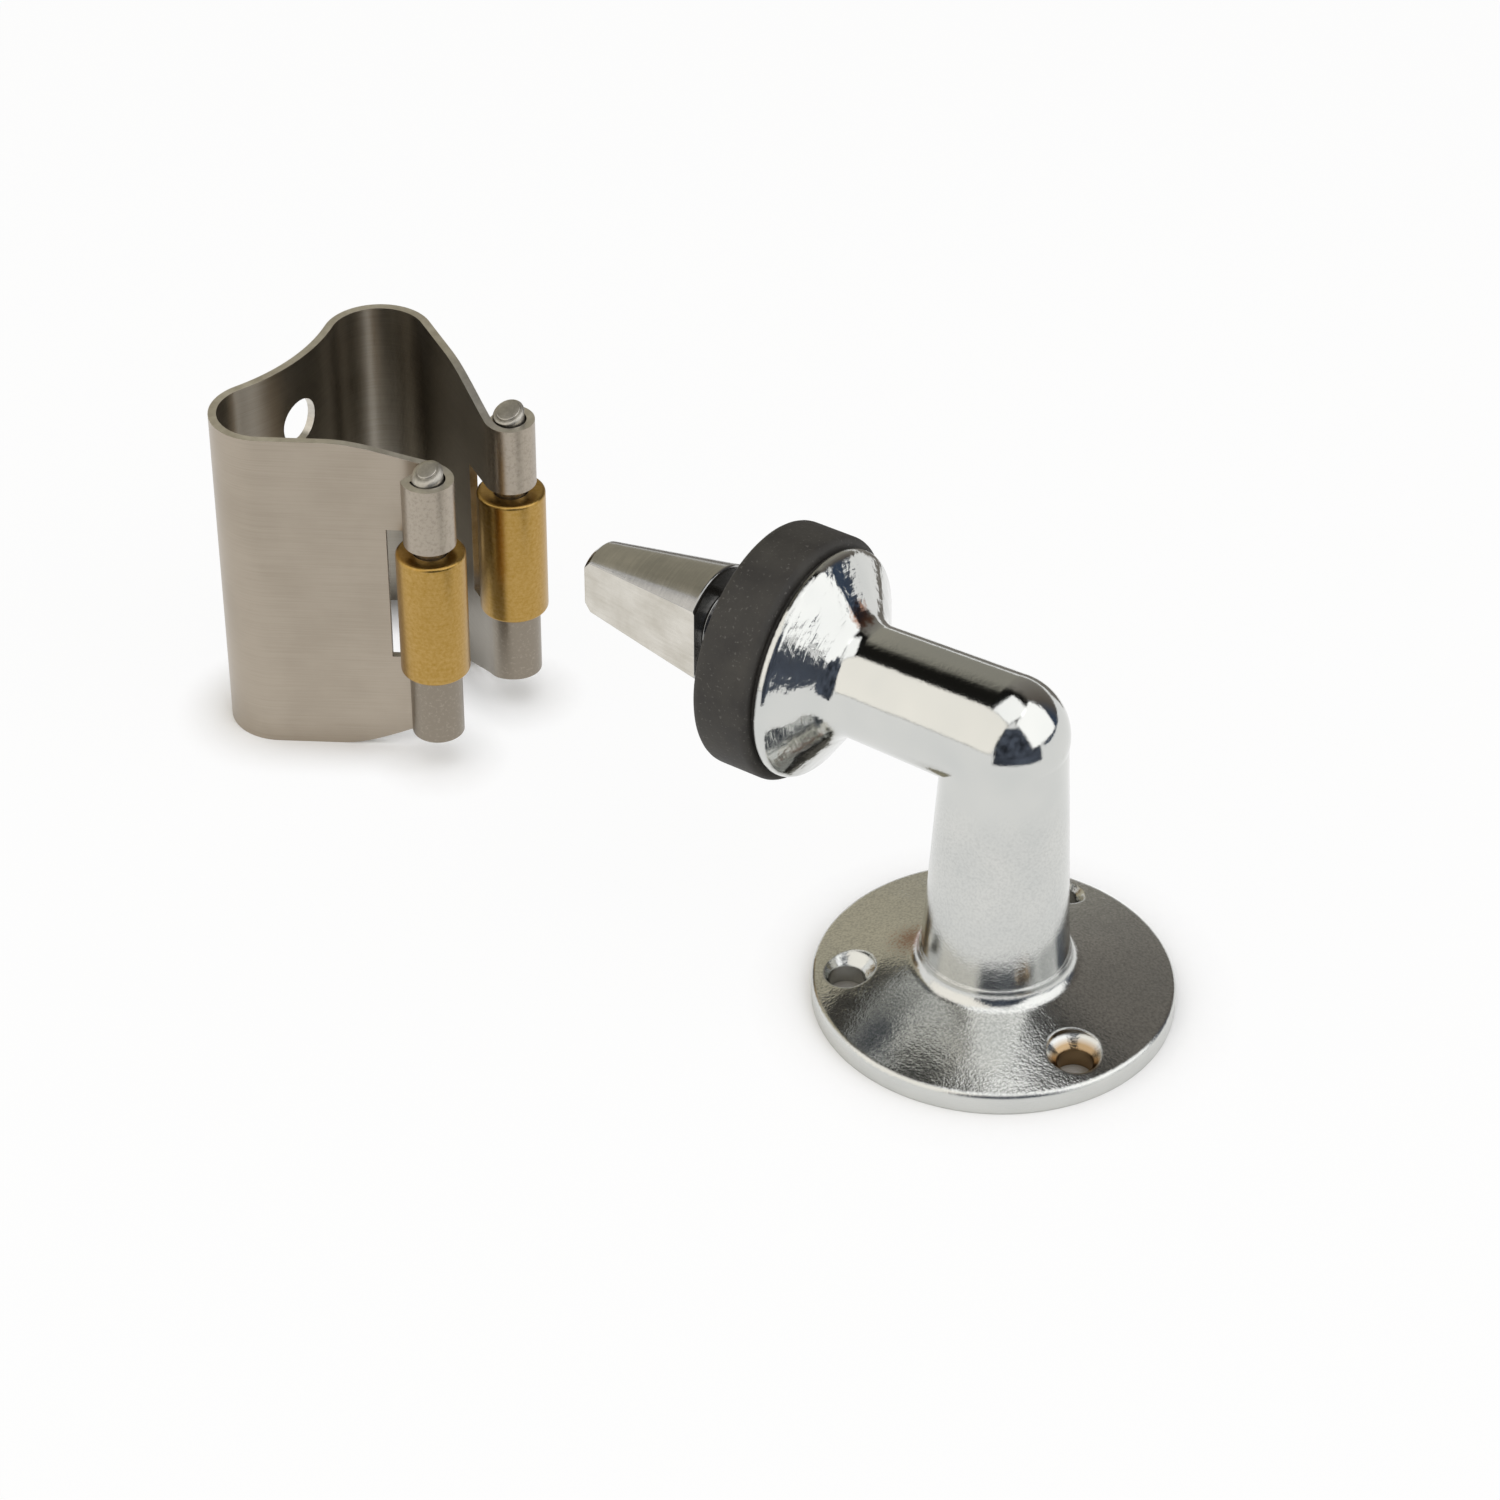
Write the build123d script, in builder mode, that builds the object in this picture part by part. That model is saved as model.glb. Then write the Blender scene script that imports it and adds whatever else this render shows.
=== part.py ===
from build123d import *

import os
from math import asin, atan2, cos, degrees, hypot, radians, sin

# Locking door stop, in two units that work together: a stop that is screwed to the floor, with a
# wedge-shaped latch head on its arm, and a sprung clip for the door, whose rollers close behind the
# head. Millimetres, +Z up. The origin is the centre of the base's underside. The arm points along
# +X to the clip, which stands on the same floor with its mouth towards the head.

# Base and post
base_d = 50.0
base_rim = 3.0
base_edge = 0.8
base_rise = 3.7
foot_d = 20.8
foot_flare = 2.1
post_foot_d = 20.3
post_top_d = 16.6

# Floor screws
screw_count = 3
screw_edge = 0.9
screw_first_angle = 34.2
screw_hole_d = 5.0
screw_head_d = 8.0
screw_head_angle = 90.0

# Arm and dish
arm_height = 44.1
arm_root_d = 17.0
arm_end_d = 16.0
dish_d = 32.4
dish_front = 29.3
dish_rim = 1.2
dish_rim_edge = 0.3
dish_flare = 5.2
dish_flare_round = 3.5
dish_shoulder_round = 1.2

# Rubber buffer
buffer_d = 34.8
buffer_length = 9.3
buffer_step = 0.6
buffer_step_margin = 0.9
buffer_back_round = 1.0
buffer_front_round = 1.5

# Latch head, neck and stud
neck_d = 9.0
neck_length = 6.7
head_length = 20.7
head_back_d = 16.8
head_tip_d = 10.4
head_back_width = 12.9
head_tip_width = 6.2
head_back_chamfer = 0.3
head_tip_chamfer = 1.0
stud_d = 7.8
stud_length = 16.0
stud_chamfer = 0.8

# Sheet of the spring clip
clip_gap = 29.5
clip_side_step = -9.8
clip_height = 52.5
clip_depth = 34.4
clip_width = 42.2
sheet = 1.2
lobe_r = 8.1
back_dip = 2.2
eye_wrap = 262.0
taper_start = 14.4
taper_end = -2.5
taper_drop = 4.5
eye_lift = 0.8
clip_screw_hole_d = 7.0
clip_screw_spacing = 32.0

# Pins and rollers
roller_d = 10.1
roller_length = 20.4
roller_edge = 0.5
roller_spacing = 19.2
window_margin = 2.3
pin_d = 4.6
pin_proud_top = 2.2
pin_proud_bottom = 0.7
pin_chamfer = 0.3
pin_slant = 22.0

# Clearances
stud_clearance = 0.1
neck_clearance = 0.15
eye_clearance = 0.3
roller_bore_clearance = 0.05
roller_end_clearance = 0.3
roller_end_play = 1.2

# Screw circle, with a margin from the heads to the base's edge
screw_circle_d = base_d - screw_head_d - 2 * screw_edge

# Heights on the post
rise_top = base_rim + base_rise
foot_top = rise_top + foot_flare

# Places along the arm
arm_axis = Axis((0, 0, arm_height), (1, 0, 0))
buffer_front = dish_front + buffer_length
head_back = buffer_front + neck_length
head_tip = head_back + head_length
stud_end = dish_front - stud_length

# Places in the clip
clip_x = head_tip + clip_gap
clip_plane = Plane(origin=(clip_x, clip_side_step, 0))
clip_side_plane = Plane(origin=(clip_x, clip_side_step, 0), x_dir=(1, 0, 0), z_dir=(0, -1, 0))
clip_top_plane = clip_plane.offset(clip_height)
clip_middle = clip_height / 2
clip_back = (clip_x + clip_depth, clip_side_step, clip_middle)
clip_back_plane = Plane(origin=clip_back, x_dir=(0, 1, 0), z_dir=(1, 0, 0))
eye_bore_r = pin_d / 2 + eye_clearance
eye_r = eye_bore_r + sheet
eye_top = clip_height - taper_drop + eye_lift
eye_bottom = taper_drop + eye_lift
window_height = roller_length + 2 * roller_end_clearance + roller_end_play
window_middle = clip_middle + eye_lift
window_depth = roller_d / 2 + window_margin
roller_bottom = window_middle - window_height / 2 + roller_end_clearance

os.makedirs("parts", exist_ok=True)


def arm_profile_point(along, radius):
    """A point of a profile that is turned about the arm's axis."""
    return (along, arm_height + radius)


# Stop: base, post, elbow, arm and dish, cast in one
with BuildPart() as stop_arm:
    with BuildSketch(Plane.XZ):
        with BuildLine():
            FilletPolyline(
                (0, 0),
                (base_d / 2, 0),
                (base_d / 2, base_rim),
                (foot_d / 2, rise_top),
                (foot_d / 2, foot_top),
                (post_foot_d / 2, foot_top),
                (post_top_d / 2, arm_height),
                (0, arm_height),
                radius=(0, 0, base_edge, foot_flare, 0, 0, 0, 0),
                close=True,
            )
        make_face()
    revolve(axis=Axis.Z)
    with BuildSketch(Plane.XZ):
        with BuildLine():
            elbow_back = arm_profile_point(-arm_root_d / 2, 0)
            elbow_top = arm_profile_point(0, arm_root_d / 2)
            dish_axis_point = arm_profile_point(dish_front, 0)
            RadiusArc(elbow_back, elbow_top, arm_root_d / 2)
            FilletPolyline(
                elbow_top,
                arm_profile_point(dish_front - dish_rim - dish_flare, arm_end_d / 2),
                arm_profile_point(dish_front - dish_rim, dish_d / 2),
                arm_profile_point(dish_front, dish_d / 2),
                dish_axis_point,
                radius=(dish_flare_round, dish_shoulder_round, dish_rim_edge),
            )
            Line(dish_axis_point, elbow_back)
        make_face()
    revolve(axis=arm_axis)
    with Locations(Plane(origin=(dish_front, 0, arm_height), z_dir=(1, 0, 0))):
        Hole(radius=stud_d / 2 + stud_clearance, depth=stud_length + stud_clearance)
    rise_slope = base_rise / (base_d / 2 - foot_d / 2)
    screw_head_z = base_rim + rise_slope * (base_d - screw_circle_d) / 2
    with Locations((0, 0, screw_head_z)):
        with PolarLocations(screw_circle_d / 2, screw_count, screw_first_angle):
            CounterSinkHole(screw_hole_d / 2, screw_head_d / 2, 2 * base_rim, screw_head_angle)
stop_arm.part.label = "stop_arm"
export_step(stop_arm.part, "parts/stop_arm.step")

# Rubber ring on the dish, stepped down at the back so that a dark line shows behind it
with BuildPart() as buffer_ring:
    with BuildSketch(Plane.XZ):
        with BuildLine():
            buffer_bore_r = neck_d / 2 + neck_clearance
            buffer_step_r = buffer_d / 2 - buffer_back_round - buffer_step_margin
            FilletPolyline(
                arm_profile_point(dish_front, buffer_bore_r),
                arm_profile_point(dish_front, buffer_step_r),
                arm_profile_point(dish_front + buffer_step, buffer_step_r),
                arm_profile_point(dish_front + buffer_step, buffer_d / 2),
                arm_profile_point(buffer_front, buffer_d / 2),
                arm_profile_point(buffer_front, buffer_bore_r),
                radius=(0, 0, 0, buffer_back_round, buffer_front_round, 0),
                close=True,
            )
        make_face()
    revolve(axis=arm_axis)
buffer_ring.part.label = "buffer_ring"
export_step(buffer_ring.part, "parts/buffer_ring.step")

# Latch head: a turned cone on a neck, with a flat milled on each side that narrows to the tip
with BuildPart() as latch_head:
    with BuildSketch(Plane.XZ):
        with BuildLine():
            Polyline(
                arm_profile_point(stud_end, 0),
                arm_profile_point(stud_end, stud_d / 2 - stud_chamfer),
                arm_profile_point(stud_end + stud_chamfer, stud_d / 2),
                arm_profile_point(dish_front, stud_d / 2),
                arm_profile_point(dish_front, neck_d / 2),
                arm_profile_point(head_back, neck_d / 2),
                arm_profile_point(head_back, head_back_d / 2 - head_back_chamfer),
                arm_profile_point(head_back + head_back_chamfer, head_back_d / 2),
                arm_profile_point(head_tip - head_tip_chamfer, head_tip_d / 2),
                arm_profile_point(head_tip, head_tip_d / 2 - head_tip_chamfer),
                arm_profile_point(head_tip, 0),
                close=True,
            )
        make_face()
    revolve(axis=arm_axis)
    with BuildSketch(Plane.XY.offset(arm_height)):
        with BuildLine():
            Polyline(
                (head_back, head_back_width / 2),
                (head_tip, head_tip_width / 2),
                (head_tip, head_back_d),
                (head_back, head_back_d),
                close=True,
            )
        make_face()
        mirror(about=Plane.XZ)
    extrude(amount=head_back_d, both=True, mode=Mode.SUBTRACT)
latch_head.part.label = "latch_head"
export_step(latch_head.part, "parts/latch_head.step")

# Plan of the spring: eye, arm, lobe and half of the bowed back along the middle of the sheet
eye_centre = Vector(0, roller_spacing / 2)
lobe_centre = Vector(clip_depth - lobe_r, clip_width / 2 - lobe_r)
eye_mid_r = eye_bore_r + sheet / 2
lobe_mid_r = lobe_r - sheet / 2
eye_to_lobe = lobe_centre - eye_centre
cross_angle = asin((eye_mid_r + lobe_mid_r) / hypot(eye_to_lobe.X, eye_to_lobe.Y))
arm_angle = degrees(atan2(eye_to_lobe.Y, eye_to_lobe.X) + cross_angle)
arm_across = Vector(-sin(radians(arm_angle)), cos(radians(arm_angle)))
arm_from_eye = eye_centre - arm_across * eye_mid_r
arm_to_lobe = lobe_centre + arm_across * lobe_mid_r
back_middle = clip_depth - back_dip - sheet / 2
back_reach = back_middle - lobe_centre.X
bow_mid_r = (back_reach**2 + lobe_centre.Y**2 - lobe_mid_r**2) / (2 * (lobe_mid_r - back_reach))
bow_angle = degrees(atan2(lobe_centre.Y, back_reach + bow_mid_r))
bow_centre = Vector(back_middle + bow_mid_r, 0)

# Spring clip: the folded sheet, its ends tapered to the eyes, and a window for each roller. The outer
# half of each eye, past the arm's edge, is level at the top and the bottom.
with BuildPart() as spring_clip:
    with BuildSketch(clip_plane):
        with BuildLine():
            CenterArc(eye_centre, eye_mid_r, arm_angle - 90 - eye_wrap, eye_wrap)
            Line(arm_from_eye, arm_to_lobe)
            CenterArc(lobe_centre, lobe_mid_r, -bow_angle, arm_angle + 90 + bow_angle)
            CenterArc(bow_centre, bow_mid_r, 180 - bow_angle, bow_angle)
            mirror(about=Plane.XZ)
        trace(line_width=sheet)
    extrude(amount=clip_height)
    with BuildSketch(clip_side_plane):
        with BuildLine():
            Polyline(
                (clip_depth, 0),
                (taper_start, 0),
                (taper_end, eye_bottom),
                (-2 * eye_r, eye_bottom),
                (-2 * eye_r, eye_top),
                (taper_end, eye_top),
                (taper_start, clip_height),
                (clip_depth, clip_height),
                close=True,
            )
        make_face()
        with Locations((window_depth, window_middle)):
            Rectangle(
                window_depth + 2 * eye_r,
                window_height,
                align=(Align.MAX, Align.CENTER),
                mode=Mode.SUBTRACT,
            )
    extrude(amount=clip_width, both=True, mode=Mode.INTERSECT)
    for level_plane, level_depth in ((clip_top_plane, eye_top - clip_height), (clip_plane, eye_bottom)):
        with BuildSketch(level_plane):
            with Locations(Location(eye_centre, arm_angle)):
                Rectangle(4 * eye_r, 2 * eye_r, align=(Align.CENTER, Align.MIN))
            mirror(about=Plane.XZ)
        extrude(amount=level_depth, mode=Mode.SUBTRACT)
    with BuildSketch(clip_back_plane):
        with GridLocations(clip_screw_spacing, clip_screw_spacing, 1, 2):
            Circle(clip_screw_hole_d / 2)
    extrude(amount=-clip_depth / 2, mode=Mode.SUBTRACT)
spring_clip.part.label = "spring_clip"
export_step(spring_clip.part, "parts/spring_clip.step")

# A pin with a slanted cut end, and a brass roller on it, on each side of the mouth
pin_bottom = eye_bottom - pin_proud_bottom
pin_top = eye_top + pin_proud_top
for side, name in ((1, "left"), (-1, "right")):
    pin_y = clip_side_step + side * roller_spacing / 2
    with BuildPart() as pin:
        with BuildSketch(Plane(origin=(clip_x, pin_y, pin_bottom))):
            Circle(pin_d / 2)
        extrude(amount=pin_top - pin_bottom)
        chamfer(pin.edges().filter_by(GeomType.CIRCLE).sort_by(Axis.Z)[0], pin_chamfer)
        slant = radians(pin_slant)
        cut_middle = (clip_x, pin_y, pin_top - pin_d / 2 * sin(slant))
        split(bisect_by=Plane(origin=cut_middle, z_dir=(0, sin(slant), cos(slant))), keep=Keep.BOTTOM)
    pin.part.label = f"{name}_pin"
    export_step(pin.part, f"parts/{name}_pin.step")

    with BuildPart() as roller:
        with BuildSketch(Plane(origin=(clip_x, pin_y, roller_bottom))):
            Circle(roller_d / 2)
            Circle(pin_d / 2 + roller_bore_clearance, mode=Mode.SUBTRACT)
        extrude(amount=roller_length)
        rims = roller.edges().filter_by(GeomType.CIRCLE).group_by(SortBy.RADIUS)[-1]
        fillet(rims, roller_edge)
    roller.part.label = f"{name}_roller"
    export_step(roller.part, f"parts/{name}_roller.step")
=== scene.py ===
from math import asin, atan2, cos, pi, radians, sin, tan

import bmesh
import bpy
from mathutils import Matrix, Vector


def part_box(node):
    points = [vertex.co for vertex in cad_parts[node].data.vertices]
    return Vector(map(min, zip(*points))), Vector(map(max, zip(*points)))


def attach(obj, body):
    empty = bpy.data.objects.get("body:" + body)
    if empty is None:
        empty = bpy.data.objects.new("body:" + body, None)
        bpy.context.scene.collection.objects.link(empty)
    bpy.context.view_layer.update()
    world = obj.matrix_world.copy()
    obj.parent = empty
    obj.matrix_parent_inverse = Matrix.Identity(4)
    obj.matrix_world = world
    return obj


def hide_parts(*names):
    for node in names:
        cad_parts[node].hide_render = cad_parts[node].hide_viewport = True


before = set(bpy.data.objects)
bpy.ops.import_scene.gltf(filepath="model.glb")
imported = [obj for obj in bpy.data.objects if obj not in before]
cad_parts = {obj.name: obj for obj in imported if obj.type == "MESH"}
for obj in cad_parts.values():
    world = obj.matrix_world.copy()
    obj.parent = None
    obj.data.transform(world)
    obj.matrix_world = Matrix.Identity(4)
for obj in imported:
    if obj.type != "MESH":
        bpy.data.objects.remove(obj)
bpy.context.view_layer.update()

# Locking door stop on a white studio floor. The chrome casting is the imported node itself, with its
# plating as a material. The rubber, the latch head, the clip, its pins and its rollers are built here
# over their nodes, with the rounded edges and the finish of the real ones. Metres, +Z up.

mm = 0.001

# Camera, at the photograph's viewpoint
camera_at = Vector((-215.96, 384.70, 371.21)) * mm
camera_azimuth = radians(213.68)
camera_elevation = radians(36.86)
camera_roll = radians(0.442)
camera_lens = 100.27
camera_sensor = 36.0
camera_near = 0.01

# Rubber buffer, as in the part's source
buffer_step = 0.6 * mm
buffer_step_margin = 0.9 * mm
buffer_back_round = 1.0 * mm
buffer_front_round = 1.5 * mm
buffer_bore_round = 0.5 * mm
neck_r = 4.5 * mm
neck_clearance = 0.15 * mm

# Latch head
head_length = 20.7 * mm
head_back_r = 8.4 * mm
head_tip_r = 5.2 * mm
head_back_half_width = 6.45 * mm
head_tip_half_width = 3.1 * mm
head_back_chamfer = 0.3 * mm
head_tip_chamfer = 1.0 * mm
stud_r = 3.9 * mm
stud_chamfer = 0.8 * mm
head_edge = 0.18 * mm

# Spring clip
sheet = 1.2 * mm
sheet_edge = 0.4 * mm
lobe_r = 8.1 * mm
back_dip = 2.2 * mm
eye_clearance = 0.3 * mm
eye_wrap = radians(262)
taper_start = 14.4 * mm
taper_end = -2.5 * mm
eye_bottom = 5.3 * mm
eye_top = 48.8 * mm
window_margin = 2.3 * mm
roller_end_clearance = 0.3 * mm
roller_end_play = 1.2 * mm
clip_screw_r = 3.5 * mm
clip_screw_spacing = 32.0 * mm

# Pins and rollers
pin_slant = radians(22)
pin_chamfer = 0.3 * mm
pin_nib_height = 0.3 * mm
pin_nib_round = 0.12 * mm
pin_shoulder_share = 0.8
roller_edge = 0.5 * mm
roller_bore_clearance = 0.05 * mm

# Wear and brown patches on the casting
worn_hole_at = Vector((cos(radians(154.2)), sin(radians(154.2)), 0)) * 20.1 * mm
arm_brown_patch_at = Vector((23.7, -1.3, 53.3)) * mm
foot_brown_patch_at = Vector((11.2, 2.9, 6.5)) * mm

# Finish of the casting. A zone begins at its first value and is full at its second: a height for the base
# and the post, a place along the arm for the dish and the post's front.
base_zone = (9.2 * mm, 7.6 * mm)
dish_zone = (20.0 * mm, 25.0 * mm)
post_height = (40.0 * mm, 30.0 * mm)
post_front = (16.0 * mm, 10.0 * mm)
soft_edge = 0.45 * mm
wave_size = 7 * mm
peel_size = 0.7 * mm
dot_size = 0.36 * mm
stroke_ring_r = 18 * mm
stroke_width = 0.3 * mm
stroke_length = 1.2 * mm

# Fineness of the meshes
turn_steps = 128
pin_turn_steps = 64
round_steps = 6
edge_steps = 3
wall_steps = 24
head_arc_steps, head_flat_steps, head_along_steps = 20, 14, 12
bow_steps, lobe_steps, arm_steps, window_steps, eye_steps = 6, 28, 16, 8, 40
edge_rows, plain_rows, window_rows = 3, 2, 14
hole_patch_steps = 8
hole_rings = 3
slack = 0.01 * mm
merge_distance = 0.001 * mm

# Angles from which an edge stays sharp, or is rounded
rubber_sharp = radians(50)
pin_sharp = radians(40)
head_round_from = radians(25)
sheet_round_from = radians(50)

# The set. A lamp is its name, direction, distance, width, height, brightness and colour.
studio_middle = Vector((45, -3, 30)) * mm
lamps = (
    ("key_softbox", (0.32, 0.76, 0.56), 0.80, 1.10, 1.10, 1.20, "#FFFBF4"),
    ("right_softbox", (-0.80, -0.20, 0.57), 0.90, 1.00, 0.95, 1.45, "#FFFFFF"),
    ("top_softbox", (-0.16, 0.04, 0.98), 0.95, 0.78, 0.66, 1.38, "#FFFFFF"),
)
lamp_rim = 0.05
housing_gap = 0.01
world_glow = 0.72
canopy_r = 1.3
canopy_start = radians(72)
canopy_end = radians(176)
canopy_aside = radians(80)
wall_unevenness = 0.35
camera_side_r = 1.25
camera_side_from = radians(100)
camera_side_to = radians(182)
camera_side_rise = radians(50)
paper_edge = 0.13
table_lift = 0.5 * mm
floor_reach = 4.0
floor_drop = 0.02 * mm
crevice_reach = 9 * mm
under_base_r = 24.5 * mm


# Places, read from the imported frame

def centre_of(node):
    """The middle of a node's box."""
    low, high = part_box(node)
    return (low + high) / 2


def half_size_of(node):
    """Half the size of a node's box."""
    low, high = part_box(node)
    return (high - low) / 2


arm_height = centre_of("buffer_ring").z
buffer_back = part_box("buffer_ring")[0].x
buffer_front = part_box("buffer_ring")[1].x
buffer_r = half_size_of("buffer_ring").z
stud_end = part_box("latch_head")[0].x
head_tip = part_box("latch_head")[1].x
head_back = head_tip - head_length
left_pin_at = centre_of("left_pin")
right_pin_at = centre_of("right_pin")
pin_r = half_size_of("left_pin").y
clip_x = left_pin_at.x
clip_y = (left_pin_at.y + right_pin_at.y) / 2
clip_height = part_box("spring_clip")[1].z
clip_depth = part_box("spring_clip")[1].x - clip_x
clip_half_width = half_size_of("spring_clip").y
roller_r = half_size_of("left_roller").x


# Colour and nodes

def linear(hex_colour):
    """A hex colour as linear light with full alpha."""
    channels = [int(hex_colour[i:i + 2], 16) / 255 for i in (1, 3, 5)]
    return [c / 12.92 if c <= 0.04045 else ((c + 0.055) / 1.055) ** 2.4 for c in channels] + [1.0]


def link(tree, node, sources):
    """Links sources into a node's sockets. A node as a source stands for its first live output."""
    for socket, source in sources.items():
        if isinstance(source, bpy.types.Node):
            source = next(output for output in source.outputs if output.enabled)
        tree.links.new(source, node.inputs[socket])


def add(tree, kind, values=None, links=None, **settings):
    """Adds a node to a tree, with its settings, its input values and the links into it."""
    made = tree.nodes.new(kind)
    for name, value in settings.items():
        setattr(made, name, value)
    for socket, value in (values or {}).items():
        made.inputs[socket].default_value = value
    link(tree, made, links or {})
    return made


def start_material(name, values):
    """A material with its shader's plain values set, and the piece's own coordinates."""
    material = bpy.data.materials.new(name)
    material.use_nodes = True
    tree = material.node_tree
    shader = tree.nodes["Principled BSDF"]
    for socket, value in values.items():
        shader.inputs[socket].default_value = value
    return material, tree, shader, add(tree, "ShaderNodeTexCoord")


# Materials

def casting_zones(tree, place):
    """How far a place belongs to the casting's base, its dish and its post, each from 0 to 1."""
    parts = add(tree, "ShaderNodeSeparateXYZ", links={"Vector": place})
    zones = []
    for axis, (start, full) in (("Z", base_zone), ("X", dish_zone), ("Z", post_height), ("X", post_front)):
        zone = add(
            tree, "ShaderNodeMapRange", {"From Min": start, "From Max": full},
            {"Value": parts.outputs[axis]}, interpolation_type="SMOOTHSTEP",
        )
        zones.append(zone)
    on_base, on_dish, low, behind_dish = zones
    on_post = add(tree, "ShaderNodeMath", links={0: low, 1: behind_dish}, operation="MULTIPLY")
    return on_base, on_dish, on_post


def casting_grain(tree, on_base, on_dish, on_post):
    """How coarse the casting is: most on the base, less on the post and the dish, least on the arm."""
    dish_grain = add(tree, "ShaderNodeMath", {1: 0.3}, {0: on_dish}, operation="MULTIPLY")
    post_grain = add(tree, "ShaderNodeMath", {1: 0.25, 2: 0.2}, {0: on_post}, operation="MULTIPLY_ADD")
    upper_grain = add(tree, "ShaderNodeMath", links={0: dish_grain, 1: post_grain}, operation="MAXIMUM")
    return add(tree, "ShaderNodeMath", links={0: on_base, 1: upper_grain}, operation="MAXIMUM")


def casting_relief(tree, place, waves, peel, dots, coarse, on_dish):
    """The casting's normal: soft edges, slow waves, orange peel, strokes of grain that run outwards over
    the base, and the dents and lathe marks of the dish."""
    parts = add(tree, "ShaderNodeSeparateXYZ", links={"Vector": place})
    level = add(tree, "ShaderNodeVectorMath", {1: (1, 1, 0)}, {0: place}, operation="MULTIPLY")
    outward = add(tree, "ShaderNodeVectorMath", links={0: level}, operation="LENGTH")
    around = add(
        tree, "ShaderNodeMath", links={0: parts.outputs["X"], 1: parts.outputs["Y"]}, operation="ARCTAN2",
    )
    polar = add(tree, "ShaderNodeCombineXYZ", links={"X": around, "Y": outward})
    radial = add(
        tree, "ShaderNodeMapping", {"Scale": (stroke_ring_r / stroke_width, 1 / stroke_length, 1.0)},
        {"Vector": polar},
    )
    strokes = add(tree, "ShaderNodeTexNoise", {"Scale": 1.0, "Detail": 2.0}, {"Vector": radial})
    grain = add(tree, "ShaderNodeMath", {1: 0.35}, {0: strokes, 2: dots}, operation="MULTIPLY_ADD")
    patches = add(tree, "ShaderNodeTexNoise", {"Scale": 1 / (4 * mm), "Detail": 2.0}, {"Vector": place})
    left_rough = add(
        tree, "ShaderNodeMapRange", {"From Min": 0.35, "From Max": 0.65, "To Min": 0.35},
        {"Value": patches},
    )
    patchy = add(tree, "ShaderNodeMath", links={0: left_rough, 1: coarse}, operation="MULTIPLY")
    grain_height = add(tree, "ShaderNodeMath", links={0: grain, 1: patchy}, operation="MULTIPLY")
    lathe = add(
        tree, "ShaderNodeMapping", {"Scale": (1 / (0.25 * mm), 1 / (5 * mm), 1 / (5 * mm))},
        {"Vector": place},
    )
    marks = add(tree, "ShaderNodeTexNoise", {"Scale": 1.0, "Detail": 2.0}, {"Vector": lathe})
    dents = add(tree, "ShaderNodeTexNoise", {"Scale": 1 / (2.8 * mm), "Detail": 1.5}, {"Vector": place})
    dish_relief = add(tree, "ShaderNodeMath", {1: 6.0}, {0: dents, 2: marks}, operation="MULTIPLY_ADD")
    mark_height = add(tree, "ShaderNodeMath", links={0: dish_relief, 1: on_dish}, operation="MULTIPLY")
    normal = add(tree, "ShaderNodeBevel", {"Radius": soft_edge}, samples=4)
    for height, depth in (
        (waves, 0.05 * mm), (peel, 0.010 * mm),
        (grain_height, 0.04 * mm), (mark_height, 0.024 * mm),
    ):
        normal = add(tree, "ShaderNodeBump", {"Distance": depth}, {"Height": height, "Normal": normal})
    return normal


def casting_pits(tree, dots, on_base, on_post):
    """How dark the pits are: plain on the top of the base, faint on the post."""
    above_base = add(
        tree, "ShaderNodeMath", links={0: on_post, 1: on_base}, operation="SUBTRACT", use_clamp=True,
    )
    post_pits = add(tree, "ShaderNodeMath", {1: 0.13}, {0: above_base}, operation="MULTIPLY")
    surface = add(tree, "ShaderNodeNewGeometry")
    facing = add(tree, "ShaderNodeSeparateXYZ", links={"Vector": surface.outputs["Normal"]})
    upward = add(
        tree, "ShaderNodeMapRange", {"From Min": 0.75, "From Max": 0.92, "To Max": 0.34},
        {"Value": facing.outputs["Z"]},
    )
    deepest = add(
        tree, "ShaderNodeMath", links={0: on_base, 1: upward, 2: post_pits}, operation="MULTIPLY_ADD",
    )
    return add(
        tree, "ShaderNodeMapRange", {"From Min": 0.4, "From Max": 0.7},
        {"Value": dots, "To Max": deepest},
    )


def casting_brown_patches(tree, place, peel, dots):
    """How brown a place is: a brown patch where the arm meets the dish and another at the foot of the
    post.
    """
    brown_patches = []
    for middle, noise, raggedness, outside, full, most in (
        (arm_brown_patch_at, peel, 3.0 * mm, 3.8 * mm, 2.6 * mm, 0.85),
        (foot_brown_patch_at, dots, 9.0 * mm, 8.2 * mm, 5.2 * mm, 0.7),
    ):
        away = add(tree, "ShaderNodeVectorMath", {1: middle}, {0: place}, operation="DISTANCE")
        ragged = add(
            tree, "ShaderNodeMath", {1: raggedness}, {0: noise, 2: away}, operation="MULTIPLY_ADD",
        )
        browned = add(
            tree, "ShaderNodeMapRange", {"From Min": outside, "From Max": full, "To Max": most},
            {"Value": ragged},
        )
        brown_patches.append(browned)
    return add(tree, "ShaderNodeMath", links={0: brown_patches[0], 1: brown_patches[1]}, operation="MAXIMUM")


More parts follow.
